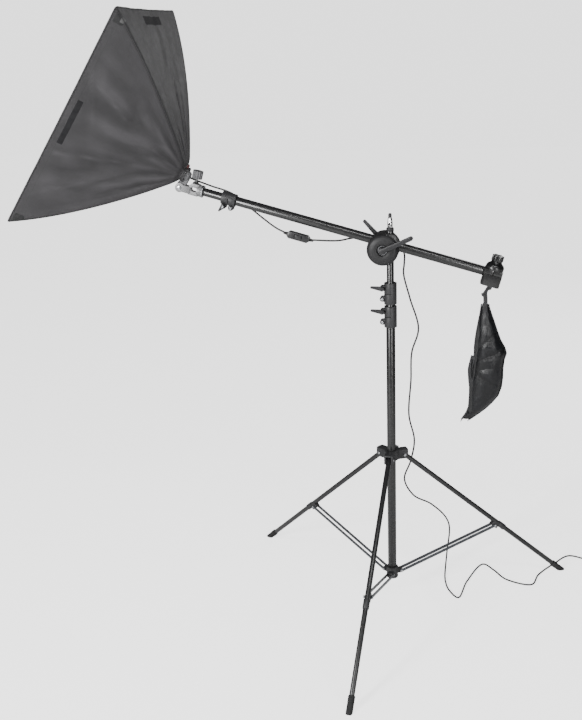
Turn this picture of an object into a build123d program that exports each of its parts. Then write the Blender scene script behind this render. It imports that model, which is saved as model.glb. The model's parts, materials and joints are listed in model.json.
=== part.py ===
"""Boom-stand studio softbox: a folding tripod stand, a tilting two-stage boom, a lamp with a
rectangular fabric softbox at one end and a hanging sandbag at the other.

Frame: +Z up, origin on the floor on the column's axis, softbox towards -X, lever side towards -Y.
All sizes are in millimetres.
"""
import os
from math import atan2, cos, degrees, hypot, radians, sin

from build123d import *

# ---------------------------------------------------------------- driving dimensions
# Column: three telescoping steel tubes
LOWER_R = 14.0
MIDDLE_R = 12.5
TOP_R = 11.0
WALL = 1.2
RUNNING_GAP = 0.05
LOWER_TUBE_Z = (80.0, 985.0)
MIDDLE_TUBE_Z = (150.0, 1058.0)
TOP_TUBE_Z = (200.0, 1260.0)

# Section clamps
CLAMP_WALL = 5.5
COLUMN_CLAMP_LENGTH = 66.0
LOWER_CLAMP_Z = 955.0
UPPER_CLAMP_Z = 1028.0
EAR_REACH = 5.0
EAR_R = 8.0
EAR_HALF_WIDTH = 9.0
CLAMP_BOLT_R = 2.5
WING_REACH = 33.0

# Tripod
LEG_AZIMUTHS = {"left": 144.4, "front": 264.4, "right": 24.4}
LEG_R = 8.0
LEG_LENGTH = 783.0
LEG_ANGLE = 48.1
HUB_PIVOT = (41.0, 523.0)
HUB_Z = (511.0, 541.0)
COLLAR_PIVOT = (29.0, 100.0)
COLLAR_Z = (80.0, 118.0)
BRACE_JOINT_ALONG_LEG = 445.0
BRACE_JOINT_OFFSET = 12.0
BRACE_WIDTH = 10.0
BRACE_THICKNESS = 2.5
BRACE_INNER_FACE = 8.4
RIVET_R = 2.5
FOOT_R = 10.0
FOOT_LENGTH = 48.0
HUB_KNOB_AZIMUTH = 84.4

# Head clamp: its bolt lies along Y beside the column
HEAD_BOLT_X = -17.5
HEAD_BOLT_Z = 1206.0
HEAD_BOLT_R = 4.0
DISC_R = 48.0
PLATE_R = 46.0
FRONT_FACE_Y = -66.0
BOOM_PLATE_Y = (-33.0, -16.1)
COLUMN_PLATE_Y = (-14.9, -1.0)
REAR_DISC_Y = (1.0, 30.0)
RECESS_R = 16.0
RECESS_DEPTH = 10.0

# Boom
BOOM_TILT = 15.83
BOOM_Y = -33.5
BOOM_Z = 1221.0
BOOM_OUTER_R = 14.0
BOOM_INNER_R = 12.5
BOOM_OUTER_SPAN = (-300.0, 497.0)
BOOM_INNER_SPAN = (-100.0, 604.0)
BOOM_CLAMP_START = 481.0
BOOM_CLAMP_LENGTH = 44.0

# Rear clamp, hook and sandbag
REAR_CLAMP_STATION = -318.0
REAR_CLAMP_LENGTH = 56.0
REAR_CLAMP_WIDTH = 48.0
STAPLE_DROP = 46.0
HOOK_END = (284.0, 1066.0)

# Lamp bracket
BRACKET_START = 586.0
TILT_PIVOT = (-635.0, 1396.0)
UMBRELLA_STATION = 614.0

# Softbox
SOFTBOX_PITCH = 34.3
SOFTBOX_APEX = (-622.0, BOOM_Y, 1437.0)
SOFTBOX_LONG = 700.0
SOFTBOX_SHORT = 500.0
SOFTBOX_DEPTH = 331.0
SOFTBOX_NECK_HALF = 24.0
SOFTBOX_CORNER_R = 10.0
FABRIC = 2.0
RIB_R = 2.5
RIB_INSET = 13.0
DIFFUSER_RECESS = 14.0
HOLDER_R = 20.0

CABLE_R = 2.8
SWITCH_STATION = 268.0
SWITCH_DROP = 51.0

# ---------------------------------------------------------------- frames
TILT = radians(BOOM_TILT)
PITCH = radians(SOFTBOX_PITCH)
BOOM_DIRECTION = (-cos(TILT), 0, sin(TILT))
BOOM_UP = (sin(TILT), 0, cos(TILT))
BOX_DIRECTION = (-cos(PITCH), 0, sin(PITCH))
BOX_UP = (sin(PITCH), 0, cos(PITCH))

BOOM = Plane(origin=(0, BOOM_Y, BOOM_Z), x_dir=BOOM_UP, z_dir=BOOM_DIRECTION)
HEAD = Plane(origin=(HEAD_BOLT_X, 0, HEAD_BOLT_Z), x_dir=(1, 0, 0), z_dir=(0, -1, 0))
BOX = Plane(origin=SOFTBOX_APEX, x_dir=BOX_UP, z_dir=BOX_DIRECTION)
LOW = (Align.CENTER, Align.CENTER, Align.MIN)


def boom_point(station, up=0.0, across=0.0):
    """A point at a distance along the boom, above its axis and across it."""
    return (
        station * BOOM_DIRECTION[0] + up * BOOM_UP[0],
        BOOM_Y + across,
        BOOM_Z + station * BOOM_DIRECTION[2] + up * BOOM_UP[2],
    )


# ---------------------------------------------------------------- shared shapes
def rod(radius, start, end):
    """A cylinder along local Z from start to end."""
    return Pos(0, 0, start) * Cylinder(radius, end - start, align=LOW)


def pipe(outer, inner, start, end):
    return rod(outer, start, end) - rod(inner, start - 1, end + 1)


def cross_rod(radius, x, z, half_length, centre_y=0.0):
    """A cylinder along local Y through (x, z)."""
    return Pos(x, centre_y, z) * Rot(90, 0, 0) * Cylinder(radius, 2 * half_length)


def block(x, y, z):
    """A box between three pairs of coordinates."""
    size = (x[1] - x[0], y[1] - y[0], z[1] - z[0])
    return Pos((x[0] + x[1]) / 2, (y[0] + y[1]) / 2, (z[0] + z[1]) / 2) * Box(*size)


def turned(profile):
    """A solid turned about local Z from (radius, height) points."""
    face = make_face(Polyline(*[(r, 0, z) for r, z in profile], close=True))
    return revolve(face, Axis.Z)


def lobed(radius, lobe_r, lobes, height):
    """A hand knob: a round core with lobes around its rim, from local Z 0 to height."""
    body = Cylinder(radius, height, align=LOW)
    for i in range(lobes):
        body += Rot(0, 0, 360 * i / lobes) * Pos(radius, 0, 0) * Cylinder(lobe_r, height, align=LOW)
    return body


def round_wire(points, radius, tangents=None):
    """A round wire swept along a smooth curve through the points."""
    path = Spline(*points, tangents=tangents) if tangents else Spline(*points)
    section = Plane(origin=path @ 0, z_dir=path % 0) * Circle(radius)
    return sweep(section, path=path)


def lever_arm(start, end, root_width, tip_width, thickness):
    """A tapered arm with round ends between two points of the local XY plane, centred on Z = 0."""
    length = hypot(end[0] - start[0], end[1] - start[1])
    angle = degrees(atan2(end[1] - start[1], end[0] - start[0]))
    root = Pos(0, 0, 0) * Cylinder(root_width / 2, thickness)
    tip = Pos(length, 0, 0) * Cylinder(tip_width / 2, thickness)
    outline = Polyline(
        (0, -root_width / 2),
        (length, -tip_width / 2),
        (length, tip_width / 2),
        (0, root_width / 2),
        close=True,
    )
    web = extrude(make_face(outline), thickness / 2, both=True)
    return Pos(start[0], start[1], 0) * Rot(0, 0, angle) * (root + web + tip)


# ---------------------------------------------------------------- section clamps
def section_clamp(outer_r, inner_r, seat, length):
    """A two-ring clamp around the step between two tubes, with its ears towards local -X.

    The first ring grips the outer tube up to the seat; the second closes on the sliding tube.
    """
    shell_r = outer_r + CLAMP_WALL
    bolt_x = -(shell_r + EAR_REACH)
    ring = length / 2 - 1
    clamp = rod(shell_r, 0, length)
    for low in (0, length - ring):
        middle = low + ring / 2
        clamp += block((bolt_x, 0), (-EAR_HALF_WIDTH, EAR_HALF_WIDTH), (middle - EAR_R, middle + EAR_R))
        clamp += cross_rod(EAR_R, bolt_x, middle, EAR_HALF_WIDTH)
    clamp -= rod(outer_r, -1, seat)
    clamp -= rod(inner_r + RUNNING_GAP, seat - 1, length + 1)
    clamp -= block((-60, 4), (-40, 40), (length / 2 - 1, length / 2 + 1))
    clamp -= block((-60, 0), (-1.2, 1.2), (-1, length + 1))
    for low in (0, length - ring):
        clamp -= cross_rod(CLAMP_BOLT_R + RUNNING_GAP, bolt_x, low + ring / 2, 30)
    fixed = cross_rod(CLAMP_BOLT_R, bolt_x, ring / 2, EAR_HALF_WIDTH)
    for side in (-1, 1):
        fixed += cross_rod(4.5, bolt_x, ring / 2, 1.8, side * (EAR_HALF_WIDTH + 1.8))
    return clamp, fixed


def clamp_lever(outer_r, length, reach, angle):
    """A wing lever with its own bolt through the second ring's ears."""
    x = -(outer_r + CLAMP_WALL + EAR_REACH)
    ring = length / 2 - 1
    z = length - ring / 2
    shank = cross_rod(CLAMP_BOLT_R, x, z, EAR_HALF_WIDTH + 1)
    nut = cross_rod(4.5, x, z, 1.8, EAR_HALF_WIDTH + 1.9)
    hub = cross_rod(7.0, x, z, 6.0, -EAR_HALF_WIDTH - 6.2)
    tip = (reach * cos(radians(angle)), reach * sin(radians(angle)))
    wing = lever_arm((0, 0), tip, 14.0, 6.0, 8.0)
    placed = Pos(x, -EAR_HALF_WIDTH - 6.2, z) * Rot(90, 0, 0) * wing
    return shank + nut + hub + placed


# ---------------------------------------------------------------- tripod
def around_column(azimuth, shape):
    return Rot(0, 0, azimuth) * shape


def leg_frame():
    """The leg's own frame: origin at the hub pivot, local Z down the leg, local X outwards."""
    angle = radians(LEG_ANGLE)
    return Plane(
        origin=(HUB_PIVOT[0], 0, HUB_PIVOT[1]),
        x_dir=(cos(angle), 0, sin(angle)),
        z_dir=(sin(angle), 0, -cos(angle)),
    )


def brace_joint():
    """Where a brace meets its leg, in the leg's vertical plane."""
    angle = radians(LEG_ANGLE)
    along = BRACE_JOINT_ALONG_LEG
    x = HUB_PIVOT[0] + along * sin(angle) - BRACE_JOINT_OFFSET * cos(angle)
    z = HUB_PIVOT[1] - along * cos(angle) - BRACE_JOINT_OFFSET * sin(angle)
    return x, z


def leg():
    tube = pipe(LEG_R, LEG_R - WALL, -10, LEG_LENGTH - FOOT_LENGTH / 2)
    tube -= cross_rod(RIVET_R + RUNNING_GAP, 0, 0, 20)
    return leg_frame() * tube


def foot():
    """A rubber foot over the leg's end, worn flat where it stands on the floor."""
    start = LEG_LENGTH - FOOT_LENGTH
    cap = rod(FOOT_R, start, LEG_LENGTH + 8)
    cap = fillet(cap.edges().filter_by(GeomType.CIRCLE), 2.0)
    cap -= rod(LEG_R, start - 1, LEG_LENGTH - FOOT_LENGTH / 2)
    placed = leg_frame() * cap
    return placed - block((0, 900), (-60, 60), (-60, 0))


def leg_bracket():
    """The saddle on the inner side of a leg that carries the brace's rivet."""
    saddle = block(
        (-BRACE_JOINT_OFFSET - 6.5, 0),
        (-BRACE_INNER_FACE + 0.2, BRACE_INNER_FACE - 0.2),
        (BRACE_JOINT_ALONG_LEG - 13, BRACE_JOINT_ALONG_LEG + 13),
    )
    saddle -= rod(LEG_R, 0, LEG_LENGTH)
    return leg_frame() * saddle


def brace():
    """Two flat bars from the lower collar to the leg, with rivet heads on their outer faces."""
    x1, z1 = brace_joint()
    x0, z0 = COLLAR_PIVOT
    length = hypot(x1 - x0, z1 - z0)
    frame = Plane(origin=(x0, 0, z0), x_dir=(x1 - x0, 0, z1 - z0), z_dir=(0, -1, 0))
    pieces = []
    for side in (-1, 1):
        middle = side * (BRACE_INNER_FACE + BRACE_THICKNESS / 2)
        bar = Pos(length / 2, 0, 0) * Box(length, BRACE_WIDTH, BRACE_THICKNESS)
        for end in (0, length):
            bar += Pos(end, 0, 0) * Cylinder(BRACE_WIDTH / 2, BRACE_THICKNESS)
        bar -= Cylinder(RIVET_R + RUNNING_GAP, 10)
        pieces.append(frame * Pos(0, 0, middle) * bar)
        head = side * (BRACE_INNER_FACE + BRACE_THICKNESS + 1)
        pieces.append(frame * Pos(length, 0, head) * Cylinder(4.0, 2.0))
    return pieces


def lower_collar():
    collar = rod(19.0, *COLLAR_Z)
    for azimuth in LEG_AZIMUTHS.values():
        x, z = COLLAR_PIVOT
        lug = block((12, x), (-8, 8), (z - 7.5, z + 7.5)) + cross_rod(7.5, x, z, 8)
        collar += around_column(azimuth, lug)
    collar -= rod(LOWER_R, COLLAR_Z[0] + 4, COLLAR_Z[1] + 1)
    for azimuth in LEG_AZIMUTHS.values():
        collar -= around_column(azimuth, cross_rod(RIVET_R, *COLLAR_PIVOT, 20))
    return collar


def rivet(pivot, half_length):
    shank = cross_rod(RIVET_R, *pivot, half_length)
    for side in (-1, 1):
        shank += cross_rod(4.5, *pivot, 1.0, side * (half_length + 1.0))
    return shank


def leg_hub():
    """The sliding hub: a sleeve with three forked lobes that hold the legs' top ends."""
    hub = rod(24.0, *HUB_Z)
    for azimuth in LEG_AZIMUTHS.values():
        lobe = block((10, 56), (-14, 14), HUB_Z) & rod(54.0, *HUB_Z)
        hub += around_column(azimuth, lobe)
    boss = Rot(0, 90, 0) * rod(9.0, 18, 34)
    hub += around_column(HUB_KNOB_AZIMUTH, Pos(0, 0, 526) * boss)
    for azimuth in LEG_AZIMUTHS.values():
        slot = block((27.5, 70), (-8.3, 8.3), (HUB_Z[0] - 1, HUB_Z[1] - 4.5))
        hole = cross_rod(RIVET_R, *HUB_PIVOT, 20)
        hub -= around_column(azimuth, slot + hole)
    hub -= rod(LOWER_R + RUNNING_GAP, HUB_Z[0] - 1, HUB_Z[1] + 1)
    screw_hole = Rot(0, 90, 0) * rod(3.0 + RUNNING_GAP, 5, 40)
    return hub - around_column(HUB_KNOB_AZIMUTH, Pos(0, 0, 526) * screw_hole)


def hub_knob():
    screw = rod(3.0, 14.6, 44)
    head = Pos(0, 0, 38) * lobed(12.0, 3.0, 6, 16.0)
    return around_column(HUB_KNOB_AZIMUTH, Pos(0, 0, 526) * Rot(0, 90, 0) * (screw + head))


def tripod_parts():
    clamp, bolt = section_clamp(LOWER_R, MIDDLE_R, LOWER_TUBE_Z[1] - LOWER_CLAMP_Z, COLUMN_CLAMP_LENGTH)
    place = Pos(0, 0, LOWER_CLAMP_Z)
    lever = clamp_lever(LOWER_R, COLUMN_CLAMP_LENGTH, WING_REACH, 172.0)
    collar_half = BRACE_INNER_FACE + BRACE_THICKNESS + 0.1
    parts = {
        "column_lower_tube": [pipe(LOWER_R, LOWER_R - WALL, COLLAR_Z[0] + 4, LOWER_TUBE_Z[1])],
        "lower_collar": [lower_collar()],
        "collar_pins": [around_column(a, rivet(COLLAR_PIVOT, collar_half)) for a in LEG_AZIMUTHS.values()],
        "lower_section_clamp": [place * clamp, place * bolt],
        "lower_clamp_lever": [place * lever],
        "leg_hub": [leg_hub()],
        "hub_pins": [around_column(a, rivet(HUB_PIVOT, 14.0)) for a in LEG_AZIMUTHS.values()],
        "hub_knob": [hub_knob()],
    }
    for name, azimuth in LEG_AZIMUTHS.items():
        parts["leg_" + name] = [around_column(azimuth, leg())]
        parts["foot_" + name] = [around_column(azimuth, foot())]
        parts["leg_bracket_" + name] = [around_column(azimuth, leg_bracket())]
        parts["brace_" + name] = [around_column(azimuth, piece) for piece in brace()]
    return parts


# ---------------------------------------------------------------- column
def column_parts():
    seat = MIDDLE_TUBE_Z[1] - UPPER_CLAMP_Z
    clamp, bolt = section_clamp(MIDDLE_R + 1.5, TOP_R, seat, COLUMN_CLAMP_LENGTH)
    grip = pipe(MIDDLE_R + 1.5, MIDDLE_R, 0, seat)
    place = Pos(0, 0, UPPER_CLAMP_Z)
    lever = clamp_lever(MIDDLE_R + 1.5, COLUMN_CLAMP_LENGTH, WING_REACH, 172.0)
    cap_top = TOP_TUBE_Z[1] + 4
    cap = turned([(0, cap_top - 16), (9.8, cap_top - 16), (9.8, cap_top - 10), (TOP_R + 0.6, cap_top - 10),
                  (TOP_R + 0.6, cap_top - 2), (TOP_R - 1.4, cap_top), (0, cap_top)])
    stud = turned([(0, cap_top), (8.0, cap_top), (8.0, cap_top + 13), (6.4, cap_top + 29),
                   (5.4, cap_top + 30.5), (0, cap_top + 30.5)])
    tip_bottom = cap_top + 30.5
    tip = rod(5.3, tip_bottom, tip_bottom + 13)
    tip = fillet(tip.edges().group_by(Axis.Z)[-1], 4.5)
    return {
        "column_middle_tube": [pipe(MIDDLE_R, MIDDLE_R - WALL, *MIDDLE_TUBE_Z)],
        "upper_section_clamp": [place * (clamp + grip), place * bolt],
        "upper_clamp_lever": [place * lever],
        "column_top_tube": [pipe(TOP_R, TOP_R - WALL, TOP_TUBE_Z[0], cap_top - 10)],
        "column_caps": [cap, tip],
        "spigot": [stud],
    }


# ---------------------------------------------------------------- head clamp
def boom_groove():
    return BOOM * rod(BOOM_OUTER_R + RUNNING_GAP, -120, 120)


def column_groove():
    return rod(TOP_R + RUNNING_GAP, HEAD_BOLT_Z - 80, HEAD_BOLT_Z + 80)


def domed_disc(inner, outer, hole_r):
    """A disc with a soft rim and a cupped centre; inner and outer are heights on local Z."""
    step = 1 if outer > inner else -1
    rim = abs(outer - inner)
    profile = [
        (hole_r, inner),
        (DISC_R - 2, inner),
        (DISC_R, inner + step * 3),
        (DISC_R, inner + step * rim * 0.52),
        (DISC_R - 2.5, inner + step * rim * 0.74),
        (DISC_R - 9, inner + step * rim * 0.92),
        (DISC_R - 20, outer),
        (RECESS_R + 3, outer),
        (RECESS_R, outer - step * 1.5),
        (RECESS_R, outer - step * RECESS_DEPTH),
        (hole_r, outer - step * RECESS_DEPTH),
    ]
    return turned(profile)


def head_lever(tip, base, root_width, tip_width, hole_r):
    """A hand lever: a hub on the bolt and an arm that lifts away from the disc's face."""
    reach = hypot(*tip)
    angle = degrees(atan2(tip[1], tip[0]))
    side = 1 if base > 0 else -1
    hub = rod(10.0, *sorted((base, base + side * 18)))
    arm = lever_arm((0, 0), (reach, 0), root_width, tip_width, 9.0)
    arm = Rot(0, 0, angle) * Pos(0, 0, base + side * 14.5) * Rot(0, -side * 5, 0) * arm
    return hub + arm - rod(hole_r, *sorted((base - side, base + side * 12)))


def head_parts():
    hole = HEAD_BOLT_R + RUNNING_GAP
    front = HEAD * domed_disc(-BOOM_PLATE_Y[0] + 1.0, -FRONT_FACE_Y, hole)
    boom_plate = HEAD * pipe(PLATE_R, hole, -BOOM_PLATE_Y[1], -BOOM_PLATE_Y[0])
    column_plate = HEAD * pipe(PLATE_R, hole, -COLUMN_PLATE_Y[1], -COLUMN_PLATE_Y[0])
    rear = HEAD * domed_disc(-REAR_DISC_Y[0], -REAR_DISC_Y[1], HEAD_BOLT_R)
    ring = HEAD * pipe(44.0, 20.0, -COLUMN_PLATE_Y[0] + RUNNING_GAP, -BOOM_PLATE_Y[1] - RUNNING_GAP)
    recess = -FRONT_FACE_Y - RECESS_DEPTH
    bolt = HEAD * rod(HEAD_BOLT_R, -REAR_DISC_Y[1], recess + 10)
    washer = HEAD * pipe(15.5, 11.0, recess, recess + 3.0)
    return {
        "head_front_disc": [front - boom_groove()],
        "boom_grip_plate": [boom_plate - boom_groove()],
        "friction_ring": [ring],
        "column_grip_plate": [column_plate - column_groove()],
        "head_rear_disc": [rear - column_groove()],
        "head_bolt": [bolt],
        "spring_washer": [washer],
        "front_lever": [HEAD * head_lever((86, 40), recess + 0.5, 13.0, 13.0, hole)],
        "rear_lever": [HEAD * head_lever((-65, 70), -REAR_DISC_Y[1] + RECESS_DEPTH - 0.5, 17.0, 9.0, hole)],
    }


# ---------------------------------------------------------------- boom
def boom_parts():
    seat = BOOM_OUTER_SPAN[1] - BOOM_CLAMP_START
    clamp, bolt = section_clamp(BOOM_OUTER_R, BOOM_INNER_R, seat, BOOM_CLAMP_LENGTH)
    lever = clamp_lever(BOOM_OUTER_R, BOOM_CLAMP_LENGTH, 16.0, 150.0)
    place = BOOM * Pos(0, 0, BOOM_CLAMP_START)
    return {
        "boom_outer_tube": [BOOM * pipe(BOOM_OUTER_R, BOOM_OUTER_R - WALL, *BOOM_OUTER_SPAN)],
        "boom_inner_tube": [BOOM * pipe(BOOM_INNER_R, BOOM_INNER_R - WALL, *BOOM_INNER_SPAN)],
        "boom_clamp": [place * clamp, place * bolt],
        "boom_clamp_lever": [place * lever],
    }


# ---------------------------------------------------------------- rear clamp and sandbag
def rear_clamp_parts():
    half = REAR_CLAMP_LENGTH / 2
    side = REAR_CLAMP_WIDTH / 2
    place = BOOM * Pos(0, 0, REAR_CLAMP_STATION)
    tube = BOOM * rod(BOOM_OUTER_R, *BOOM_OUTER_SPAN)
    lower = block((-37, -3), (-side, side), (-half, half))
    lower = chamfer(lower.edges().filter_by(Axis.X), 7.0)
    staple = Pos(-37, 0, -4)
    legs = [block((-9.5, 1), (y - 2, y + 2), (-2, 2)) for y in (-9, 9)]
    staple_bar = cross_rod(2.0, -9, 0, 11)
    lower_block = place * lower - tube
    lower_block += place * staple * (legs[0] + legs[1] + staple_bar)
    bands = block((-3, 12.5), (-side + 2, side - 2), (-half + 1, half - 1))
    bands -= block((-4, 14), (-40, 40), (-1.5, 1.5))
    upper = Rot(0, 90, 0) * turned([(0, 12.5), (27, 12.5), (27, 21), (24, 27), (17, 33), (15, 37), (0, 37)])
    upper -= Rot(0, 90, 0) * rod(4.0 + RUNNING_GAP, 16, 40)
    stem = Rot(0, 90, 0) * rod(4.0, 17, 42)
    star = Rot(0, 90, 0) * Pos(0, 0, 38) * lobed(13.0, 4.5, 6, 17.0)
    return {
        "rear_clamp": [lower_block, place * upper - tube],
        "rear_clamp_straps": list((place * bands - tube).solids()),
        "rear_clamp_knob": [place * (stem + star)],
    }


def sandbag_hook():
    """An S hook on the staple's bar: a closed loop above and an open curl below."""
    bar = boom_point(REAR_CLAMP_STATION - 4, -STAPLE_DROP)
    loop = Pos(bar[0], BOOM_Y, bar[2]) * Rot(90, 0, 0) * Torus(4.6, 1.8)
    start = (bar[0] - 2.2, BOOM_Y, bar[2] - 4.2)
    shank = round_wire(
        [start, (HOOK_END[0] + 5.5, BOOM_Y, HOOK_END[1] + 8), (HOOK_END[0], BOOM_Y, HOOK_END[1] - 4),
         (HOOK_END[0] - 6, BOOM_Y, HOOK_END[1] - 1), (HOOK_END[0] - 9.5, BOOM_Y, HOOK_END[1] + 6)],
        1.8,
    )
    return loop + shank


def sandbag():
    """A two-pocket saddle bag hanging by its webbing neck, as one closed lump."""
    levels = [
        # height, low x, high x, half depth
        (1060, 276, 293, 9),
        (1020, 273, 300, 12),
        (985, 266, 312, 20),
        (930, 258, 334, 30),
        (890, 250, 348, 34),
        (850, 247, 344, 36),
        (760, 243, 336, 34),
        (706, 240, 298, 26),
        (668, 222, 246, 8),
    ]
    sections = []
    for z, low, high, depth in levels:
        face = Ellipse((high - low) / 2, depth)
        sections.append(Pos((low + high) / 2, BOOM_Y, z) * face)
    return loft(sections)


# ---------------------------------------------------------------- lamp bracket and holder
def lamp_bracket_parts():
    px, pz = TILT_PIVOT
    end = hypot(px, pz - BOOM_Z)
    socket = BOOM * pipe(18.0, BOOM_INNER_R, BRACKET_START, 604.0)
    body = block((-18, 18), (-11, 11), (BRACKET_START + 14, BRACKET_START + 44))
    body = BOOM * (body - Pos(18, 0, BRACKET_START + 44) * Rot(0, 45, 0) * Box(10, 30, 10))
    taper = Pos(px, BOOM_Y, pz) * Rot(90, 0, 0) * Cylinder(14.0, 26.0)
    web = BOOM * block((-16, 5), (-13, 13), (BRACKET_START + 40, end - 6))
    bracket = socket + body + web + taper
    bracket -= Pos(px, BOOM_Y, pz) * Rot(90, 0, 0) * Cylinder(16.5, 15.0)
    bracket -= BOOM * rod(BOOM_INNER_R, 500, 604.0)
    for shift in (-4, 4):
        bracket -= BOOM * cross_rod(6.5, 0, UMBRELLA_STATION + shift, 30)
    bracket -= BOOM * block((-6.5, 6.5), (-30, 30), (UMBRELLA_STATION - 4, UMBRELLA_STATION + 4))
    side_view = Plane(origin=(px, BOOM_Y, pz), x_dir=(1, 0, 0), z_dir=(0, -1, 0))
    tongue_room = Polyline((-16, -2), (-16, 30), (40, 30), (32, 8), (12, -8), close=True)
    bracket -= side_view * extrude(make_face(tongue_room), 7.6, both=True)
    knob_place = BOOM * Pos(0, 0, UMBRELLA_STATION) * Rot(0, 90, 0)
    bracket -= knob_place * rod(3.0 + RUNNING_GAP, 6, 30)
    bracket -= Pos(px, BOOM_Y, pz) * Rot(90, 0, 0) * Cylinder(3.0, 60)
    bolt = Pos(px, BOOM_Y, pz) * Rot(90, 0, 0) * Cylinder(3.0, 27.0)
    for side in (-1, 1):
        head = Rot(90, 0, 0) * Cylinder(5.5, 3.0)
        bolt += Pos(px, BOOM_Y + side * 14.5, pz) * head
    knob = rod(3.0, 6.5, 36) + rod(7.0, 18.2, 21) + Pos(0, 0, 34) * lobed(14.6, 1.6, 14, 24.0)
    return {
        "boom_bracket": [bracket],
        "tilt_bolt": [bolt],
        "bracket_knob": [knob_place * knob],
    }


def lamp_holder():
    """The tilting lamp holder: a tongue on the pivot, a neck and the socket barrel."""
    px, pz = TILT_PIVOT
    tongue = Pos(px, BOOM_Y, pz) * Rot(90, 0, 0) * (Cylinder(13.0, 14.4) - Cylinder(3.05, 20))
    side_view = Plane(origin=(px, BOOM_Y, pz), x_dir=(1, 0, 0), z_dir=(0, -1, 0))
    outline = Polyline((-12, 3), (-6, 16), (17, 36), (33, 28), (12, -3), close=True)
    neck = side_view * extrude(make_face(outline), 7.2, both=True)
    neck -= Pos(px, BOOM_Y, pz) * Rot(90, 0, 0) * Cylinder(3.05, 20)
    profile = [(0, -25), (4.5, -25), (5, -22), (12, -22), (15, -18), (17, -8), (HOLDER_R, -4)]
    profile += [(HOLDER_R, 40), (HOLDER_R + 2, 40), (HOLDER_R + 2, 46), (14, 46), (14, 16), (0, 16)]
    barrel = BOX * turned(profile)
    return tongue + neck + barrel


def bulb_parts():
    """A screw-cap lamp with a tall milky envelope on the softbox's axis."""
    cap = BOX * turned([(0, 16.5), (7, 16.5), (13, 22), (13, 46), (16, 50), (26, 58), (30, 72), (30, 84), (0, 84)])
    outside = [(27, 84), (33, 110), (34, 150), (30, 182), (18, 204), (0, 210)]
    inside = [(0, 208.4), (17, 202.6), (28.4, 181.2), (32.4, 150), (31.4, 110), (25.4, 84)]
    glass = BOX * turned(outside + inside)
    return {"bulb_base": [cap], "bulb_glass": [glass]}


# ---------------------------------------------------------------- softbox
def softbox_half(depth, mouth_half):
    """Half the softbox's width at a depth from the apex: the ribs bow it outwards."""
    q = depth / SOFTBOX_DEPTH
    bowed = q * (1.3 - 0.3 * q)
    return SOFTBOX_NECK_HALF + (mouth_half - SOFTBOX_NECK_HALF) * bowed


def softbox_section(depth, inset):
    long_half = softbox_half(depth, SOFTBOX_LONG / 2) - inset
    short_half = softbox_half(depth, SOFTBOX_SHORT / 2) - inset
    radius = max(SOFTBOX_CORNER_R - inset / 2, 2.0)
    return Pos(0, 0, depth) * RectangleRounded(2 * long_half, 2 * short_half, radius)


def softbox_shell(start, end, outer_inset, thickness):
    """A thin fabric shell following the ribs between two depths."""
    depths = [start + (end - start) * i / 4 for i in range(5)]
    outer = loft([softbox_section(d, outer_inset) for d in depths])
    inner = loft([softbox_section(d, outer_inset + thickness) for d in depths])
    return BOX * (outer - inner)


def softbox_ribs():
    ribs = []
    for long_side in (-1, 1):
        for short_side in (-1, 1):
            points = []
            for i in range(6):
                depth = 17 + (SOFTBOX_DEPTH - DIFFUSER_RECESS - 8 - 17) * i / 5
                x = softbox_half(depth, SOFTBOX_LONG / 2) - RIB_INSET
                y = softbox_half(depth, SOFTBOX_SHORT / 2) - RIB_INSET
                points.append((long_side * x, short_side * y, depth))
            ribs.append(BOX * round_wire(points, RIB_R))
    return ribs


def rib_ring():
    """The speed ring: a flanged ring on the lamp holder with four rib sockets."""
    ring = pipe(29.0, HOLDER_R + RUNNING_GAP, 11, 23)
    for long_side in (-1, 1):
        for short_side in (-1, 1):
            x = long_side * (softbox_half(17, SOFTBOX_LONG / 2) - RIB_INSET)
            y = short_side * (softbox_half(17, SOFTBOX_SHORT / 2) - RIB_INSET)
            ring += Pos(x, y, 14) * Cylinder(4.5, 9, align=LOW)
            arm = block((HOLDER_R + 4, hypot(x, y)), (-4.5, 4.5), (14, 23))
            ring += Rot(0, 0, degrees(atan2(y, x))) * arm
    ring -= rod(HOLDER_R + RUNNING_GAP, 0, 60)
    return BOX * ring


def softbox_parts():
    ring = rib_ring()
    ribs = softbox_ribs()
    for rib in ribs:
        ring -= rib
    diffuser_depth = SOFTBOX_DEPTH - DIFFUSER_RECESS
    panel = softbox_section(diffuser_depth, 3.4 + FABRIC)
    panel = BOX * extrude(panel, FABRIC)
    return {
        "rib_ring": [ring],
        "ribs": ribs,
        "canopy": [softbox_shell(6, SOFTBOX_DEPTH, 0.0, FABRIC)],
        "lining": [softbox_shell(30, diffuser_depth - 4, FABRIC + 1.0, 1.0)],
        "diffuser": [panel],
    }


# ---------------------------------------------------------------- cable and switch
SWITCH_CENTRE = boom_point(SWITCH_STATION, -SWITCH_DROP, -12.0)


def cable_lamp():
    """From the lamp holder past the umbrella knob and the boom clamp to the switch."""
    points = [
        tuple(BOX.from_local_coords((0, 0, -26.6))),
        (-584, -24, 1411),
        (-546, -13, 1394),
        boom_point(BOOM_CLAMP_START + 22, 14.0, 22.0),
        (-430, -13, 1332),
        (-378, -27, 1294),
        (-340, -39, 1270),
        boom_point(SWITCH_STATION + 37.0, -SWITCH_DROP, -12.0),
    ]
    return round_wire(points, CABLE_R)


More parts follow.
